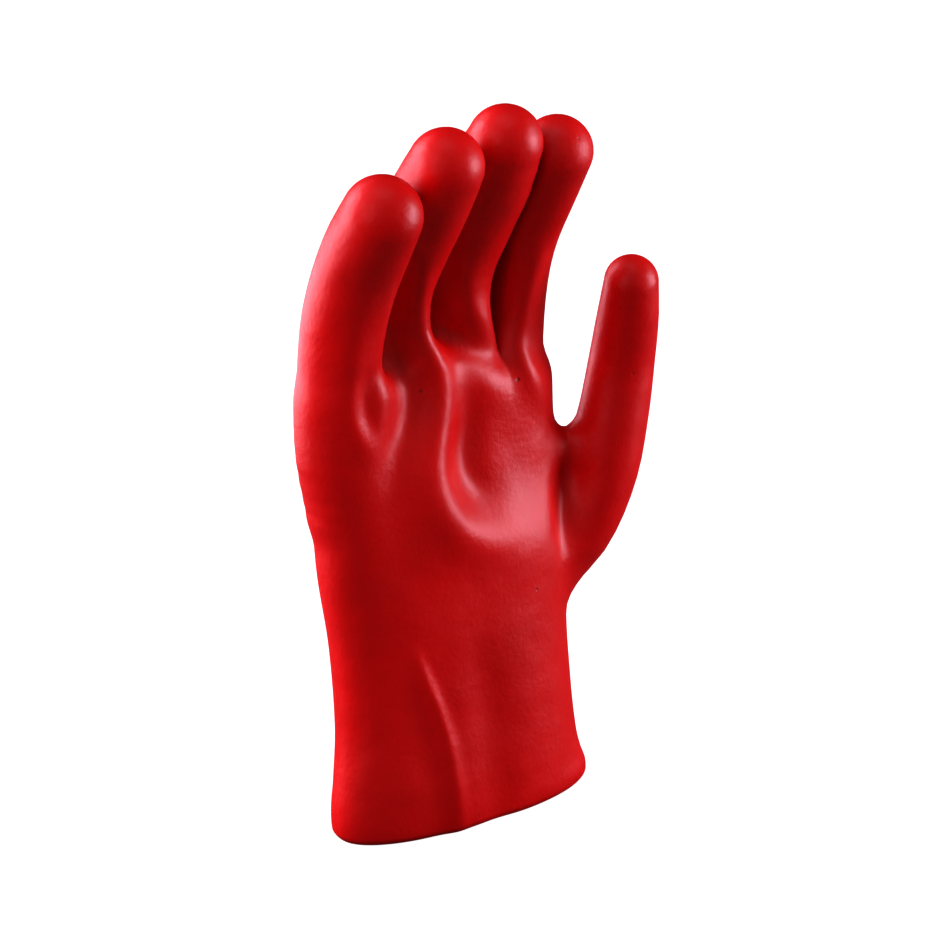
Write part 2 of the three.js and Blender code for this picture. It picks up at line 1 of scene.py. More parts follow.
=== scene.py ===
# Red PVC coated work glove: fine surface, material, light and camera.
# Lengths are in millimetres until the mesh is written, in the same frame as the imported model.
import math
import bpy
import numpy as np
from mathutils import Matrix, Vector


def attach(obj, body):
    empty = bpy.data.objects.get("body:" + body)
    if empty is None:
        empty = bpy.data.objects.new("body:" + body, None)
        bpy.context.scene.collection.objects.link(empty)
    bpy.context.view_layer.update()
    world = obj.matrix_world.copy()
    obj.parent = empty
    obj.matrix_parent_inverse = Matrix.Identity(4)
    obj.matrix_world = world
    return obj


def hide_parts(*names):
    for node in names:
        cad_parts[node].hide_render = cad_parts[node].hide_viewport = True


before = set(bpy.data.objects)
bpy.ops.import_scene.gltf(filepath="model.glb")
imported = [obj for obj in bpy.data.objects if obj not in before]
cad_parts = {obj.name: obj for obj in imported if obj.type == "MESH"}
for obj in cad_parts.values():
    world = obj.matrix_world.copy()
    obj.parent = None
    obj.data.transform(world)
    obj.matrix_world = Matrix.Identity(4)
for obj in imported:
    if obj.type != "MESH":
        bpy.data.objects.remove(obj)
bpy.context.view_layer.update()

print("frame loaded:", list(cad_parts))

# the glove's sizes, and its sections and lines as shares of them
gloveSizes = {
    "cuffWidth": 107, "cuffDepth": 42, "wristWidth": 98, "wristDepth": 45,
    "palmWidth": 102, "palmDepth": 46, "wristHeight": 70, "palmHeight": 122,
    "webHeight": 172, "knuckleSetback": 16, "palmCup": 5, "fingerPitch": 25.5,
    "thumbHeel": 82, "thumbReach": 107.5, "thumbSpread": 67, "thumbDiameter": 26,
    "fingerGap": 0.8, "wall": 1.8, "edgeWall": 2.4, "edgeRound": 1.4, "creaseDepth": 5,
    "webFillet": 9, "thumbFillet": 8, "crownFillet": 8,
    "middleX": 11.0392, "middleY": -1.1885,  # where the frame's origin lies from the cuff's middle
}
sections = {
    "cuff": [
        {"height": 0.00, "left": 0.486, "right": 0.517, "depth": 0.488, "back": 0.03, "square": 2.2},
        {"height": 0.08, "left": 0.491, "right": 0.515, "depth": 0.500, "back": 0.03, "square": 2.2},
        {"height": 0.17, "left": 0.488, "right": 0.493, "depth": 0.505, "back": 0.04, "square": 2.2},
        {"height": 0.28, "left": 0.476, "right": 0.474, "depth": 0.512, "back": 0.06, "square": 2.2},
        {"height": 0.57, "left": 0.450, "right": 0.459, "depth": 0.524, "back": 0.19, "square": 2.2},
    ],
    "wrist": [
        {"height": 1.00, "left": 0.498, "right": 0.494, "depth": 0.500, "back": 0.34, "square": 2.2},
    ],
    "palm": [
        {"height": 0.80, "left": 0.510, "right": 0.510, "depth": 0.498, "back": 0.51, "square": 2.3},
        {"height": 1.00, "left": 0.525, "right": 0.478, "depth": 0.478, "back": 0.63, "square": 2.4},
        {"height": 1.17, "left": 0.545, "right": 0.453, "depth": 0.415, "back": 0.75, "square": 2.4},
        {"height": 1.33, "left": 0.549, "right": 0.451, "depth": 0.335, "back": 0.80, "square": 2.5},
        {"height": 1.55, "left": 0.553, "right": 0.451, "depth": 0.283, "back": 0.78, "square": 2.5},
    ],
}
cupping = {"start": 0.2, "run": 2.15, "full": 1.25, "end": 1.55}  # in fingerPitch, then in palmHeight
crown = {"across": [-1.76, -1.18, -0.20, 0.78, 1.57], "height": [0.965, 0.994, 1.029, 0.965, 0.930]}
fingers = {
    "curlPlaces": [0.23, 0.42, 0.55, 0.64, 0.775, 0.93],
    "girthPlaces": [0, 0.17, 0.38, 0.56, 0.7, 0.88, 1],
    "little": {"across": -1.74, "back": 0.60, "length": 119, "diameter": 28,
               "curl": [2, 8, 13, 21, 29, 36], "girth": [0.6, 0.93, 1.02, 1.06, 1.06, 1.04, 0.98]},
    "ring": {"across": -0.74, "back": 0.78, "length": 133.5, "diameter": 26,
             "curl": [0, 3, 14, 26, 32, 36], "girth": [0.7, 0.93, 0.97, 0.97, 1.05, 1.08, 1.0]},
    "middle": {"across": 0.34, "back": 0.86, "length": 135, "diameter": 26.5,
               "curl": [0, 1, 10, 22, 30, 33], "girth": [0.7, 0.93, 0.97, 0.97, 1.05, 1.12, 0.98]},
    "index": {"across": 1.24, "back": 0.93, "length": 127.5, "diameter": 25.5,
              "curl": [0, 5, 13, 21, 30, 30], "girth": [0.7, 0.93, 0.98, 0.96, 0.94, 0.97, 0.98]},
}
fingerNames = ["little", "ring", "middle", "index"]
thumb = {
    "rise": [0, 0.13, 0.32, 0.53, 0.72, 0.87, 1],
    "out": [0.700, 0.815, 0.935, 1.008, 1.044, 1.032, 1.010],
    "front": [-0.350, -0.150, 0.000, 0.050, 0.100, 0.250, 0.385],
    "girth": [1.00, 1.10, 1.05, 0.98, 0.91, 0.85, 0.75],
}
# the web of skin between palm and thumb: places in shares of thumbSpread, knuckleSetback and webHeight
webbing = {"out": [0.62, 0.93], "back": [0.5, 0.06], "up": [0.735, 0.722], "girth": [0.54, 0.54]}
# across and width in fingerPitch, up in webHeight, lift in creaseDepth: above 0 a ridge, below 0 a hollow
folds = {
    "palmRidge": {
        "across": [-0.83, -0.79, -0.71, -0.55, -0.42, -0.37, -0.44, -0.60, -0.71, -0.67, -0.46, -0.05,
                   0.37, 0.75, 1.20],
        "up": [1.21, 1.15, 1.10, 1.045, 1.00, 0.96, 0.89, 0.845, 0.80, 0.74, 0.685, 0.63, 0.61, 0.60, 0.58],
        "width": [0.2, 0.22, 0.23, 0.24, 0.26, 0.27, 0.30, 0.33, 0.36, 0.38, 0.40, 0.42, 0.45, 0.5, 0.5],
        "lift": [0.2, 0.4, 0.55, 0.65, 0.7, 0.7, 0.75, 0.75, 0.75, 0.75, 0.75, 0.6, 0.4, 0.25, 0.15]},
    "palmHollow": {
        "across": [0.10, 0.06, -0.02, -0.10, -0.02, 0.22, 0.50],
        "up": [0.93, 0.88, 0.83, 0.775, 0.73, 0.70, 0.71],
        "width": [0.24, 0.28, 0.30, 0.32, 0.32, 0.34, 0.40],
        "lift": [-0.1, -0.4, -0.85, -1.0, -1.0, -0.8, -0.4]},
    "palmFloor": {
        "across": [0.35, 0.60, 1.00, 1.45], "up": [0.84, 0.765, 0.70, 0.68],
        "width": [0.50, 0.58, 0.62, 0.54], "lift": [-0.2, -0.7, -0.95, -0.85]},
    "littleValley": {
        "across": [-1.12, -1.06, -1.01, -0.90, -0.84, -0.89, -1.10, -1.25, -1.30, -1.24],
        "up": [1.25, 1.154, 1.035, 1.00, 0.966, 0.894, 0.846, 0.745, 0.626, 0.45],
        "width": [0.14, 0.19, 0.24, 0.25, 0.26, 0.28, 0.30, 0.38, 0.45, 0.40],
        "lift": [-0.2, -0.9, -0.9, -0.75, -0.7, -0.7, -0.6, -0.45, -0.3, 0]},
    "ringValley": {
        "across": [-0.20, -0.20, -0.18, -0.12], "up": [1.25, 1.15, 1.07, 1.02],
        "width": [0.14, 0.18, 0.20, 0.20], "lift": [-0.2, -0.8, -0.9, -0.4]},
    "indexValley": {
        "across": [0.78, 0.79, 0.82], "up": [1.20, 1.10, 1.02],
        "width": [0.14, 0.16, 0.16], "lift": [-0.2, -0.6, -0.3]},
    "leafRidge": {
        "across": [-1.98, -1.96, -1.89, -1.79, -1.61], "up": [1.196, 1.09, 0.985, 0.908, 0.838],
        "width": [0.22, 0.22, 0.22, 0.22, 0.20], "lift": [0.1, 0.25, 0.35, 0.35, 0.1]},
    "leafValley": {
        "across": [-1.67, -1.74, -1.68, -1.58], "up": [1.035, 0.97, 0.928, 0.883],
        "width": [0.16, 0.17, 0.17, 0.15], "lift": [-0.15, -0.4, -0.4, -0.1]},
    "leafBump": {
        "across": [-1.40, -1.38, -1.46, -1.50], "up": [1.00, 0.97, 0.93, 0.88],
        "width": [0.20, 0.22, 0.22, 0.18], "lift": [0.1, 0.25, 0.25, 0.1]},
    "middleRidge": {
        "across": [0.00, 0.07, 0.17, 0.44, 0.85], "up": [1.20, 1.15, 1.10, 1.05, 0.99],
        "width": [0.22, 0.24, 0.25, 0.25, 0.22], "lift": [0.15, 0.4, 0.5, 0.5, 0.2]},
    "middleValley": {
        "across": [-0.10, -0.01, 0.33, 0.83, 1.02], "up": [1.06, 1.04, 1.00, 0.955, 0.93],
        "width": [0.18, 0.22, 0.24, 0.22, 0.20], "lift": [-0.15, -0.35, -0.45, -0.3, -0.1]},
    "middlePad": {
        "across": [-0.05, 0.30, 0.80, 1.25], "up": [0.96, 0.945, 0.92, 0.90],
        "width": [0.28, 0.38, 0.42, 0.38], "lift": [0.15, 0.35, 0.3, 0.2]},
    "thumbHollow": {
        "across": [1.92, 1.88, 1.86, 1.84], "up": [0.75, 0.69, 0.63, 0.56],
        "width": [0.22, 0.26, 0.28, 0.24], "lift": [-0.3, -0.6, -0.6, -0.3]},
    "thumbCrease": {
        "across": [1.68, 1.63, 1.60, 1.58], "up": [0.70, 0.66, 0.60, 0.54],
        "width": [0.18, 0.18, 0.18, 0.18], "lift": [-0.05, -0.25, -0.4, -0.15]},
    "indexEdge": {
        "across": [1.24, 1.14, 1.08, 1.02, 1.22, 1.50], "up": [1.20, 1.158, 1.066, 0.988, 0.915, 0.85],
        "width": [0.16, 0.18, 0.20, 0.20, 0.20, 0.2], "lift": [0.1, 0.4, 0.5, 0.45, 0.3, 0.1]},
    "cuffRidge": {
        "across": [-1.09, -0.96, -0.84, -0.70, -0.61, -0.54, -0.50],
        "up": [0.417, 0.35, 0.294, 0.218, 0.123, 0.047, 0.0],
        "width": [0.07, 0.10, 0.11, 0.13, 0.15, 0.17, 0.17],
        "lift": [0.08, 0.32, 0.38, 0.38, 0.36, 0.3, 0.26]},
    "cuffValley": {
        "across": [-0.07, -0.05, 0.05, 0.15, 0.18], "up": [0.45, 0.35, 0.25, 0.10, 0.0],
        "width": [0.25, 0.32, 0.38, 0.38, 0.32], "lift": [-0.05, -0.25, -0.35, -0.35, -0.35]},
    "cuffSlope": {
        "across": [-1.15, -1.05, -0.90, -0.80], "up": [0.34, 0.25, 0.12, 0.0],
        "width": [0.25, 0.27, 0.30, 0.30], "lift": [-0.1, -0.2, -0.2, -0.1]},
}


def hermite(places, values, at):  # a smooth curve through the named rows
    places, values = np.asarray(places, float), np.asarray(values, float)
    at = np.clip(at, places[0], places[-1])
    last = len(places) - 1
    i = np.clip(np.searchsorted(places, at) - 1, 0, last - 1)
    low, high = np.maximum(np.arange(last + 1) - 1, 0), np.minimum(np.arange(last + 1) + 1, last)
    slope = (values[high] - values[low]) / (places[high] - places[low])
    span, rise = places[i + 1] - places[i], values[i + 1] - values[i]
    t = (at - places[i]) / span
    bendLow, bendHigh = slope[i] * span - rise, rise - slope[i + 1] * span
    return values[i] + t * rise + t * (1 - t) * ((1 - t) * bendLow + t * bendHigh)


def smallerOf(a, b, soft):
    t = np.clip(0.5 + 0.5 * (b - a) / soft, 0, 1)
    return b + (a - b) * t - soft * t * (1 - t)


def largerOf(a, b, soft):
    return -smallerOf(-a, -b, soft)


def eased(share):
    return share * share * (3 - 2 * share)


def sectionColumns(s):  # the tube's sections in millimetres
    scales = {"cuff": (s["wristHeight"], s["cuffWidth"], s["cuffDepth"]),
              "wrist": (s["wristHeight"], s["wristWidth"], s["wristDepth"]),
              "palm": (s["palmHeight"], s["palmWidth"], s["palmDepth"])}
    rows = []
    for part, (height, width, depth) in scales.items():
        for row in sections[part]:
            rows.append((row["height"] * height, -row["left"] * width, row["right"] * width,
                         row["depth"] * depth, row["back"] * s["knuckleSetback"], row["square"]))
    return np.array(rows).T


tubeRows = sectionColumns(gloveSizes)


def sectionAt(z):
    return [hermite(tubeRows[0], column, z) for column in tubeRows[1:]]


def cupAt(x, z):  # the little finger's side of the palm comes forward
    s = gloveSizes
    reach = np.clip((s["fingerPitch"] * cupping["start"] - x) / (s["fingerPitch"] * cupping["run"]), 0, 1)
    places = [0, s["wristHeight"], s["palmHeight"] * cupping["full"], s["palmHeight"] * cupping["end"]]
    return hermite(places, [0, 0, s["palmCup"], s["palmCup"]], z) * eased(reach)


def tubeField(x, y, at, cup):
    left, right, depth, back, n = at
    half, middle = (right - left) / 2, (right + left) / 2
    u, v = np.abs(x - middle) / half + 1e-6, np.abs(y - back + cup) / depth + 1e-6
    size = np.maximum((u ** n + v ** n) ** (1 / n), 0.05)
    gx, gy = size ** (1 - n) * u ** (n - 1) / half, size ** (1 - n) * v ** (n - 1) / depth
    return (size - 1) / np.hypot(gx, gy)


lineSteps = 18   # pieces of a finger's line
foldSteps = 6    # samples of a fold from one named point to the next
foldReach = 2.4  # widths past which a fold no longer counts
foldFade = 0.7   # share of the depth over which folds fade toward the back
gapRound = 2.5   # rounding beside a gap, in fingerGap
floorNear = 0.01  # a corner below this height lies on the flat edge


def fingerLine(row):
    s = gloveSizes
    place = np.array([row["across"] * s["fingerPitch"], row["back"] * s["knuckleSetback"], s["palmHeight"]])
    line = []
    for i in range(lineSteps + 1):
        radius = hermite(fingers["girthPlaces"], row["girth"], i / lineSteps) * row["diameter"] / 2
        line.append([*place, radius])
        lean = math.radians(np.interp((i + 0.5) / lineSteps, fingers["curlPlaces"], row["curl"]))
        place = place + row["length"] / lineSteps * np.array([0, -math.sin(lean), math.cos(lean)])
    return np.array(line)


def thumbLine():
    s = gloveSizes
    rise = np.linspace(0, 1, lineSteps + 1)
    out, front, girth = (hermite(thumb["rise"], thumb[name], rise) for name in ("out", "front", "girth"))
    return np.stack([out * s["thumbSpread"], -front * s["thumbDiameter"],
                     s["thumbHeel"] + rise * s["thumbReach"], girth * s["thumbDiameter"] / 2], 1)


def webbingLine():
    s = gloveSizes
    scales = [s["thumbSpread"], s["knuckleSetback"], s["webHeight"], s["thumbDiameter"] / 2]
    return np.array([webbing[name] for name in ("out", "back", "up", "girth")]).T * scales


fingerLines = [fingerLine(fingers[name]) for name in fingerNames]
thumbRow = thumbLine()
webbingRow = webbingLine()


def lineField(points, line):
    nearest = np.full(len(points), np.inf)
    for a, b in zip(line[:-1], line[1:]):
        along = b[:3] - a[:3]
        off = points - a[:3]
        t = np.clip(off @ along / (along @ along), 0, 1)
        off -= t[:, None] * along
        nearest = np.minimum(nearest, np.sqrt((off * off).sum(1)) - (a[3] + t * (b[3] - a[3])))
    return nearest


def fingerGaps():  # neighbours press together halfway between their sides
    s = gloveSizes
    rows = [fingers[name] for name in fingerNames]
    return [((a["across"] + b["across"]) * s["fingerPitch"] + (a["diameter"] - b["diameter"]) / 2) / 2
            for a, b in zip(rows, rows[1:])]


gaps = fingerGaps()


def foldLine(fold):  # a fold's samples: place, width and share of the lift, in millimetres
    s = gloveSizes
    place = np.arange(len(fold["across"]))
    fine = np.linspace(0, place[-1], foldSteps * place[-1] + 1)
    x = hermite(place, fold["across"], fine) * s["fingerPitch"]
    z = hermite(place, fold["up"], fine) * s["webHeight"]
    width = hermite(place, fold["width"], fine) * s["fingerPitch"]
    run = np.hypot(np.diff(x), np.diff(z))
    run = (np.append(run, 0) + np.append(0, run)) / 2
    lift = hermite(place, fold["lift"], fine) * s["creaseDepth"] * run / (width * math.sqrt(math.pi))
    return np.stack([x, z, width, lift], 1)


foldLines = [foldLine(fold) for fold in folds.values()]


def foldLift(spot, line):  # how far one fold lifts the points near it: the sum of its samples
    total = np.zeros(len(spot))
    reach = foldReach * line[:, 2].max()
    low, high = line[:, :2].min(0) - reach, line[:, :2].max(0) + reach
    near = np.where(((spot > low) & (spot < high)).all(1))[0]
    for x, z, width, lift in line:
        apart = (spot[near, 0] - x) ** 2 + (spot[near, 1] - z) ** 2
        total[near] += lift * np.exp(-apart / width ** 2)
    return total


def foldField(points, at, cup):
    depth, back = at[2], at[3]
    front = np.clip((back - cup - points[:, 1]) / (foldFade * depth), 0, 1)
    total = sum(foldLift(points[:, [0, 2]], line) for line in foldLines)
    return -total * eased(front)


def gloveField(points):  # below 0 inside the glove, above 0 outside it
    s = gloveSizes
    x, y, z = points.T
    at = sectionAt(z)
    cup = cupAt(x, z)
    across, height = np.array(crown["across"]) * s["fingerPitch"], np.array(crown["height"]) * s["webHeight"]
    top = np.interp(x, across, height)
    palm = largerOf(tubeField(x, y, at, cup), z - top, s["crownFillet"])
    hand = np.full(len(points), np.inf)
    gap, soft = s["fingerGap"] / 2, s["fingerGap"] * gapRound
    for i, line in enumerate(fingerLines):
        finger = lineField(points, line)
        if i > 0:
            finger = largerOf(finger, gaps[i - 1] + gap - x, soft)
        if i < len(gaps):
            finger = largerOf(finger, x - gaps[i] + gap, soft)
        hand = np.minimum(hand, finger)
    thumbSide = smallerOf(lineField(points, thumbRow), lineField(points, webbingRow), s["thumbFillet"])
    whole = smallerOf(smallerOf(palm, hand, s["webFillet"]), thumbSide, s["thumbFillet"])
    edge = np.maximum(1 - z / (2 * s["edgeRound"]), 0)
    return whole + foldField(points, at, cup) + s["edgeRound"] * edge * edge


def outward(points):
    probe = 0.3
    slope = np.stack([gloveField(points + probe * axis) - gloveField(points - probe * axis)
                      for axis in np.eye(3)], 1)
    return slope / (np.linalg.norm(slope, axis=1)[:, None] + 1e-12)


def readShell(node):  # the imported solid's corners and faces, in millimetres from the cuff's middle
    mesh = bpy.data.objects[node].data
    raw = np.empty(len(mesh.vertices) * 3)
    mesh.vertices.foreach_get("co", raw)
    mesh.calc_loop_triangles()
    tris = np.empty(len(mesh.loop_triangles) * 3, int)
    mesh.loop_triangles.foreach_get("vertices", tris)
    corners, merged = np.unique(np.round(raw.reshape(-1, 3) * 1000, 3), axis=0, return_inverse=True)
    corners = corners + [gloveSizes["middleX"], gloveSizes["middleY"], 0]
    return corners, merged.reshape(-1)[tris].reshape(-1, 3)


def innerCorners(corners, faces):  # the inside is joined to the outside only through the flat edge
    skin = faces[(corners[faces][:, :, 2] > floorNear).any(1)]
    group = np.arange(len(corners))
    while True:
        joined = group.copy()
        np.minimum.at(joined, skin.ravel(), np.repeat(group[skin].min(1), 3))
        if (joined == group).all():
            break
        group = joined
    return group != group[corners[:, 2].argmax()]


def splitFaces(corners, faces, depth):  # each triangle into four
    edges = np.sort(np.concatenate([faces[:, [0, 1]], faces[:, [1, 2]], faces[:, [2, 0]]]), axis=1)
    unique, index = np.unique(edges, axis=0, return_inverse=True)
    ab, bc, ca = index.reshape(3, -1) + len(corners)
    a, b, c = faces.T
    corners = np.concatenate([corners, corners[unique].mean(1)])
    depth = np.concatenate([depth, depth[unique].mean(1)])
    faces = np.concatenate([np.stack(row, 1) for row in
                            ((a, ab, ca), (ab, b, bc), (ca, bc, c), (ab, bc, ca))])
    return corners, faces, depth


def settle(corners, depth, turns):  # moves each point onto its own level of the form
    farthest = 1.5
    onFloor = corners[:, 2] < floorNear
    band = onFloor & (depth < 0) & (depth > -0.9 * gloveSizes["edgeWall"])  # the flat edge between the skins
    for _ in range(turns):
        normal = outward(corners)
        normal[onFloor, 2] = 0
        move = np.clip(depth - gloveField(corners), -farthest, farthest)
        move[band] = 0
        corners = corners + normal * move[:, None]
    return corners


def buildShell(node):
    s = gloveSizes
    corners, faces = readShell(node)
    inside = innerCorners(corners, faces)
    gatherHeight = 6 * s["edgeRound"]  # the wall thickens toward the edge over this height
    gathered = np.clip(1 - corners[:, 2] / gatherHeight, 0, 1)
    depth = np.where(inside, -(s["wall"] + (s["edgeWall"] - s["wall"]) * gathered), 0.0)
    for turns in (5, 3):  # two splits, each settled on the form
        corners, faces, depth = splitFaces(corners, faces, depth)
        corners = settle(corners, depth, turns)
    mesh = bpy.data.meshes.new("gloveSkin")
    mesh.from_pydata(((corners - [s["middleX"], s["middleY"], 0]) / 1000).tolist(), [], faces.tolist())
    mesh.polygons.foreach_set("use_smooth", [True] * len(mesh.polygons))
    lining = (depth[faces].mean(1) < -s["wall"] / 2).astype(int)
    mesh.polygons.foreach_set("material_index", lining)
    mesh.update()
    skin = bpy.data.objects.new("gloveSkin", mesh)
    bpy.context.scene.collection.objects.link(skin)
    print("skin made:", len(mesh.polygons), "faces")
    return skin


# surface of the dipped coating, shared by the outside and the inside
dipGrain = {
    "peel": {"scale": 520, "detail": 2.0, "rough": 0.6, "height": 0.13},
    "wave": {"scale": 75, "detail": 1.5, "rough": 0.45, "height": 0.6},
    "cloud": {"scale": 22, "detail": 3.0, "rough": 0.55},
    "patches": {"scale": 48, "detail": 4.0, "rough": 0.6},
    "pins": {"scale": 95, "radius": 0.07, "share": 0.35, "height": -0.25},
    "blisters": {"scale": 60, "radius": 0.09, "share": 0.12, "height": 0.12},
    "bumpDistance": 0.001, "rangeLow": 0.3, "rangeHigh": 0.7,
}


def addSocket(group, name, direction, kind, value=None):
    socket = group.interface.new_socket(name=name, in_out=direction, socket_type=kind)
    if value is not None:
        socket.default_value = value


def mathNode(tree, operation, a, b=None, c=None, clamp=False):
    node = tree.nodes.new("ShaderNodeMath")
    node.operation = operation
    node.use_clamp = clamp
    for slot, value in zip(node.inputs, (a, b, c)):
        if value is None:
            continue
        if isinstance(value, (int, float)):
            slot.default_value = value
        else:
            tree.links.new(value, slot)
    return node.outputs[0]


def noiseNode(tree, place, noise):
    node = tree.nodes.new("ShaderNodeTexNoise")
    node.inputs["Scale"].default_value = noise["scale"]
    node.inputs["Detail"].default_value = noise["detail"]
    node.inputs["Roughness"].default_value = noise["rough"]
    tree.links.new(place, node.inputs["Vector"])
    return node.outputs["Fac"]


def cellSpots(tree, place, cells):  # round spots in a share of the cells, 1 in the middle
    radius = cells["radius"]
    node = tree.nodes.new("ShaderNodeTexVoronoi")
    node.feature = "F1"
    node.inputs["Scale"].default_value = cells["scale"]
    tree.links.new(place, node.inputs["Vector"])
    split = tree.nodes.new("ShaderNodeSeparateColor")
    tree.links.new(node.outputs["Color"], split.inputs["Color"])
    chosen = mathNode(tree, "LESS_THAN", split.outputs["Red"], cells["share"])
    size = mathNode(tree, "MULTIPLY_ADD", split.outputs["Green"], radius, radius * 0.5)
    away = mathNode(tree, "DIVIDE", node.outputs["Distance"], size)
    spot = mathNode(tree, "SUBTRACT", 1.0, away, clamp=True)
    return mathNode(tree, "MULTIPLY", mathNode(tree, "SMOOTH_MIN", spot, 1.0, 0.2), chosen)


def dipGrainGroup():
    s = dipGrain
    group = bpy.data.node_groups.new("dipGrain", "ShaderNodeTree")
    addSocket(group, "Place", "INPUT", "NodeSocketVector")
    addSocket(group, "Peel", "INPUT", "NodeSocketFloat", 1.0)
    addSocket(group, "Spots", "INPUT", "NodeSocketFloat", 1.0)
    addSocket(group, "Height", "OUTPUT", "NodeSocketFloat")
    # this output marks the pinhole dents, where a dark red is mixed in as painted shade
    addSocket(group, "Pinhole Shade", "OUTPUT", "NodeSocketFloat")
    addSocket(group, "Cloud", "OUTPUT", "NodeSocketFloat")
    addSocket(group, "Sheen Patches", "OUTPUT", "NodeSocketFloat")
    inp, out = group.nodes.new("NodeGroupInput"), group.nodes.new("NodeGroupOutput")
    place = inp.outputs["Place"]
    peel = mathNode(group, "MULTIPLY", noiseNode(group, place, s["peel"]), s["peel"]["height"])
    peel = mathNode(group, "MULTIPLY", peel, inp.outputs["Peel"])
    wave = mathNode(group, "MULTIPLY", noiseNode(group, place, s["wave"]), s["wave"]["height"])
    pins = mathNode(group, "MULTIPLY", cellSpots(group, place, s["pins"]), inp.outputs["Spots"])
    blisters = mathNode(group, "MULTIPLY", cellSpots(group, place, s["blisters"]), inp.outputs["Spots"])
    height = mathNode(group, "ADD", peel, wave)
    height = mathNode(group, "MULTIPLY_ADD", pins, s["pins"]["height"], height)
    height = mathNode(group, "MULTIPLY_ADD", blisters, s["blisters"]["height"], height)
    group.links.new(height, out.inputs["Height"])
    # the pinhole mask leaves the group only to paint shade into the dents
    group.links.new(pins, out.inputs["Pinhole Shade"])
    group.links.new(noiseNode(group, place, s["cloud"]), out.inputs["Cloud"])
    group.links.new(noiseNode(group, place, s["patches"]), out.inputs["Sheen Patches"])
    return group


def rampNode(tree, value, stops):
    node = tree.nodes.new("ShaderNodeValToRGB")
    ramp = node.color_ramp
    while len(ramp.elements) < len(stops):
        ramp.elements.new(0.5)
    for element, (place, colour) in zip(ramp.elements, stops):
        element.position = place
        element.color = (*colour, 1)
    tree.links.new(value, node.inputs["Fac"])
    return node.outputs["Color"]


def rangeNode(tree, value, low, high):
    node = tree.nodes.new("ShaderNodeMapRange")
    node.inputs["To Min"].default_value = low
    node.inputs["To Max"].default_value = high
    node.inputs["From Min"].default_value = dipGrain["rangeLow"]
    node.inputs["From Max"].default_value = dipGrain["rangeHigh"]
    tree.links.new(value, node.inputs["Value"])
    return node.outputs["Result"]


def pvcMaterial(name, look, grain):
    material = bpy.data.materials.new(name)
    material.use_nodes = True
    tree = material.node_tree
    tree.nodes.clear()
    shader = tree.nodes.new("ShaderNodeBsdfPrincipled")
    out = tree.nodes.new("ShaderNodeOutputMaterial")
    tree.links.new(shader.outputs["BSDF"], out.inputs["Surface"])
    coords = tree.nodes.new("ShaderNodeTexCoord")
    surface = tree.nodes.new("ShaderNodeGroup")
    surface.node_tree = grain
    surface.inputs["Peel"].default_value = look["peel"]
    surface.inputs["Spots"].default_value = look["spots"]
    tree.links.new(coords.outputs["Object"], surface.inputs["Place"])
    colour = rampNode(tree, surface.outputs["Cloud"], look["reds"])
    mix = tree.nodes.new("ShaderNodeMix")
    mix.data_type = "RGBA"
    # the pinholes get a dark red mixed into the base colour: painted shade in their dents
    mix.inputs["B"].default_value = (*look["pinholeShade"], 1)
    tree.links.new(surface.outputs["Pinhole Shade"], mix.inputs["Factor"])
    tree.links.new(colour, mix.inputs["A"])
    tree.links.new(mix.outputs["Result"], shader.inputs["Base Color"])
    roughness = rangeNode(tree, surface.outputs["Sheen Patches"], *look["roughness"])
    tree.links.new(roughness, shader.inputs["Roughness"])
    bump = tree.nodes.new("ShaderNodeBump")
    bump.inputs["Strength"].default_value = 1.0
    bump.inputs["Distance"].default_value = dipGrain["bumpDistance"]
    tree.links.new(surface.outputs["Height"], bump.inputs["Height"])
    tree.links.new(bump.outputs["Normal"], shader.inputs["Normal"])
    shader.inputs["Specular IOR Level"].default_value = look["specular"]
    return material


# each look's pinhole colour is a dark red painted into the pinhole dents as painted shade
outsideLook = {
    "reds": [(0.3, (0.56, 0.0, 0.0005)), (0.7, (0.68, 0.0, 0.001))], "pinholeShade": (0.12, 0.0, 0.004),
    "roughness": (0.36, 0.44), "specular": 0.42, "peel": 1.0, "spots": 1.0,
}
insideLook = {
    "reds": [(0.3, (0.36, 0.002, 0.006)), (0.7, (0.46, 0.006, 0.012))], "pinholeShade": (0.2, 0.0, 0.004),
    "roughness": (0.62, 0.72), "specular": 0.35, "peel": 2.0, "spots": 0.3,
}

grain = dipGrainGroup()
skin = buildShell("glove_shell")
skin.data.materials.append(pvcMaterial("redPvcOutside", outsideLook, grain))
skin.data.materials.append(pvcMaterial("redPvcInside", insideLook, grain))
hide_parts("glove_shell")
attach(skin, "root")
print("materials set")

# camera as the photograph has it, floor and soft studio light
studio = {
    "target": (-0.00613, -0.00221, 0.128), "azimuth": -35.0, "elevation": 20.5, "distance": 1.1,
    "lens": 118.8, "sensor": 36, "nearest": 0.01, "gamma": 0.8, "lightColour": (1.0, 0.88, 1.03),
    "backdrop": 1.0, "surroundings": 0.38, "mirrored": 0.01,  # what the camera, the surface and the gloss see
    "floorReach": 30, "floorGlow": 0.85, "floorColour": 0.35, "floorBounce": 0.06,
}
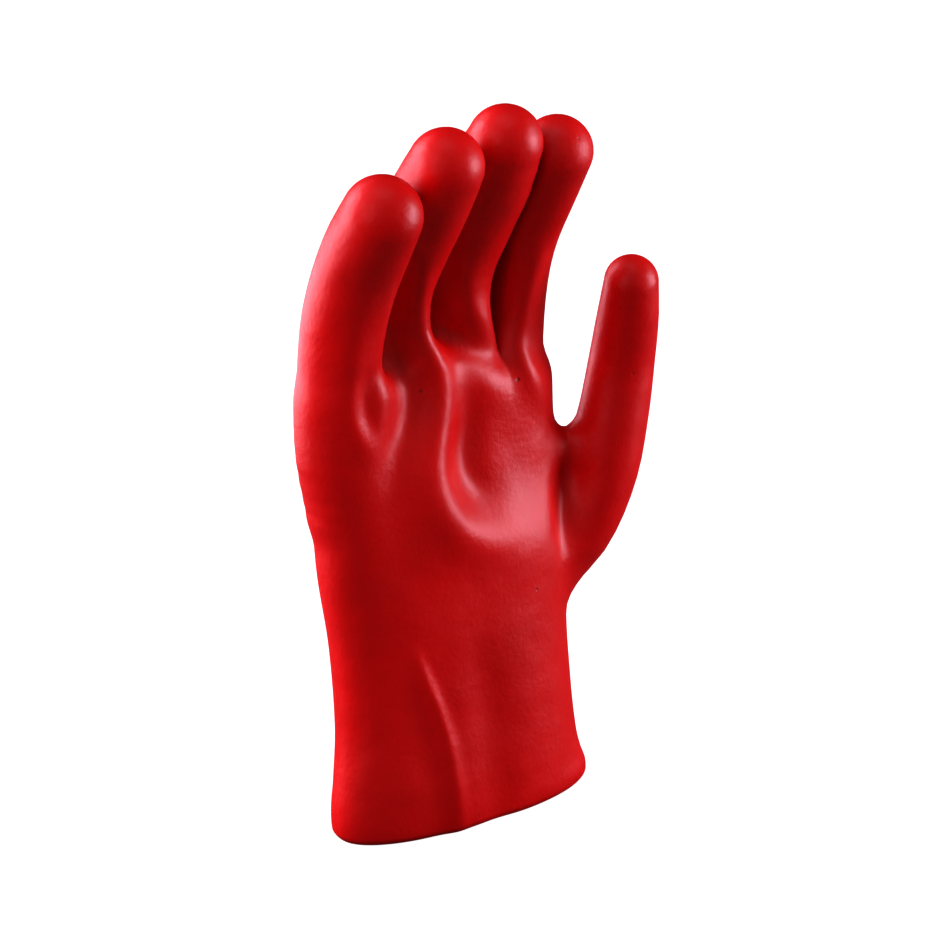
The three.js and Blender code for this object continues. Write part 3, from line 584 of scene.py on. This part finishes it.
# azimuth and elevation the light comes from in degrees, distance and size in metres, power in watts,
# and whether the glossy coating mirrors it
softboxes = {
    "left": {"azimuth": -140, "elevation": 8, "distance": 1.0, "width": 0.7, "height": 1.4, "power": 16,
             "mirrored": True},
    "leftBack": {"azimuth": -158, "elevation": 28, "distance": 1.2, "width": 0.9, "height": 0.9, "power": 5,
                 "mirrored": True},
    "leftLow": {"azimuth": -152, "elevation": -8, "distance": 0.45, "width": 0.6, "height": 0.22,
                "power": 1.2, "mirrored": True},
    "leftFill": {"azimuth": -80, "elevation": 25, "distance": 1.2, "width": 1.0, "height": 1.2, "power": 10,
                 "mirrored": False},
    "right": {"azimuth": 58, "elevation": 1, "distance": 1.0, "width": 0.5, "height": 0.8, "power": 12,
              "mirrored": True},
    "rightFill": {"azimuth": 78, "elevation": 10, "distance": 1.1, "width": 0.9, "height": 0.8, "power": 7,
                  "mirrored": False},
    "top": {"azimuth": -60, "elevation": 80, "distance": 1.1, "width": 0.9, "height": 0.6, "power": 1.5,
            "mirrored": True},
}


def towards(azimuth, elevation):
    a, e = math.radians(azimuth), math.radians(elevation)
    return Vector((math.sin(a) * math.cos(e), -math.cos(a) * math.cos(e), math.sin(e)))


def addCamera():
    data = bpy.data.cameras.new("photoCamera")
    data.lens = studio["lens"]
    data.sensor_width = studio["sensor"]
    data.clip_start = studio["nearest"]
    camera = bpy.data.objects.new("photoCamera", data)
    bpy.context.scene.collection.objects.link(camera)
    back = towards(studio["azimuth"], studio["elevation"])
    camera.location = Vector(studio["target"]) + back * studio["distance"]
    camera.rotation_mode = "QUATERNION"
    camera.rotation_quaternion = (-back).to_track_quat("-Z", "Y")
    bpy.context.scene.camera = camera


def addSoftbox(name, box):
    data = bpy.data.lights.new(name, "AREA")
    data.shape = "RECTANGLE"
    data.size, data.size_y, data.energy = box["width"], box["height"], box["power"]
    data.color = studio["lightColour"]
    lamp = bpy.data.objects.new(name, data)
    lamp.visible_glossy = box["mirrored"]
    lamp.visible_camera = False
    bpy.context.scene.collection.objects.link(lamp)
    back = towards(box["azimuth"], box["elevation"])
    lamp.location = Vector(studio["target"]) + back * box["distance"]
    lamp.rotation_mode = "QUATERNION"
    lamp.rotation_quaternion = back.to_track_quat("Z", "Y")


def chosenBy(tree, ray, seen, other):  # one shader for one kind of ray, another for the rest
    mix = tree.nodes.new("ShaderNodeMixShader")
    path = tree.nodes.new("ShaderNodeLightPath")
    tree.links.new(path.outputs[ray], mix.inputs["Fac"])
    tree.links.new(other, mix.inputs[1])
    tree.links.new(seen, mix.inputs[2])
    return mix.outputs["Shader"]


def plainShader(tree, kind, colour, strength=None):
    node = tree.nodes.new(kind)
    node.inputs["Color"].default_value = (colour, colour, colour, 1)
    if strength is not None:
        node.inputs["Strength"].default_value = strength
    return node.outputs[0]


def addFloor():
    mesh = bpy.data.meshes.new("studioFloor")
    reach = studio["floorReach"]
    corners = [(-reach, -reach, 0), (reach, -reach, 0), (reach, reach, 0), (-reach, reach, 0)]
    mesh.from_pydata(corners, [], [(0, 1, 2, 3)])
    floor = bpy.data.objects.new("studioFloor", mesh)
    bpy.context.scene.collection.objects.link(floor)
    material = bpy.data.materials.new("paleFloor")
    material.use_nodes = True
    tree = material.node_tree
    tree.nodes.clear()
    lit = tree.nodes.new("ShaderNodeAddShader")
    tree.links.new(plainShader(tree, "ShaderNodeEmission", 1, studio["floorGlow"]), lit.inputs[0])
    tree.links.new(plainShader(tree, "ShaderNodeBsdfDiffuse", studio["floorColour"]), lit.inputs[1])
    bounce = plainShader(tree, "ShaderNodeBsdfDiffuse", studio["floorBounce"])
    out = tree.nodes.new("ShaderNodeOutputMaterial")
    tree.links.new(chosenBy(tree, "Is Camera Ray", lit.outputs["Shader"], bounce), out.inputs["Surface"])
    mesh.materials.append(material)


def addWorld():
    world = bpy.data.worlds.new("studioWorld")
    world.use_nodes = True
    tree = world.node_tree
    tree.nodes.clear()
    seen = plainShader(tree, "ShaderNodeBackground", 1, studio["backdrop"])
    mirrored = plainShader(tree, "ShaderNodeBackground", 1, studio["mirrored"])
    other = plainShader(tree, "ShaderNodeBackground", 1, studio["surroundings"])
    other = chosenBy(tree, "Is Glossy Ray", mirrored, other)
    out = tree.nodes.new("ShaderNodeOutputWorld")
    tree.links.new(chosenBy(tree, "Is Camera Ray", seen, other), out.inputs["Surface"])
    bpy.context.scene.world = world


addCamera()
addFloor()
addWorld()
for name, box in softboxes.items():
    addSoftbox(name, box)
bpy.context.scene.view_settings.view_transform = "Standard"
bpy.context.scene.view_settings.gamma = studio["gamma"]
print("studio set")
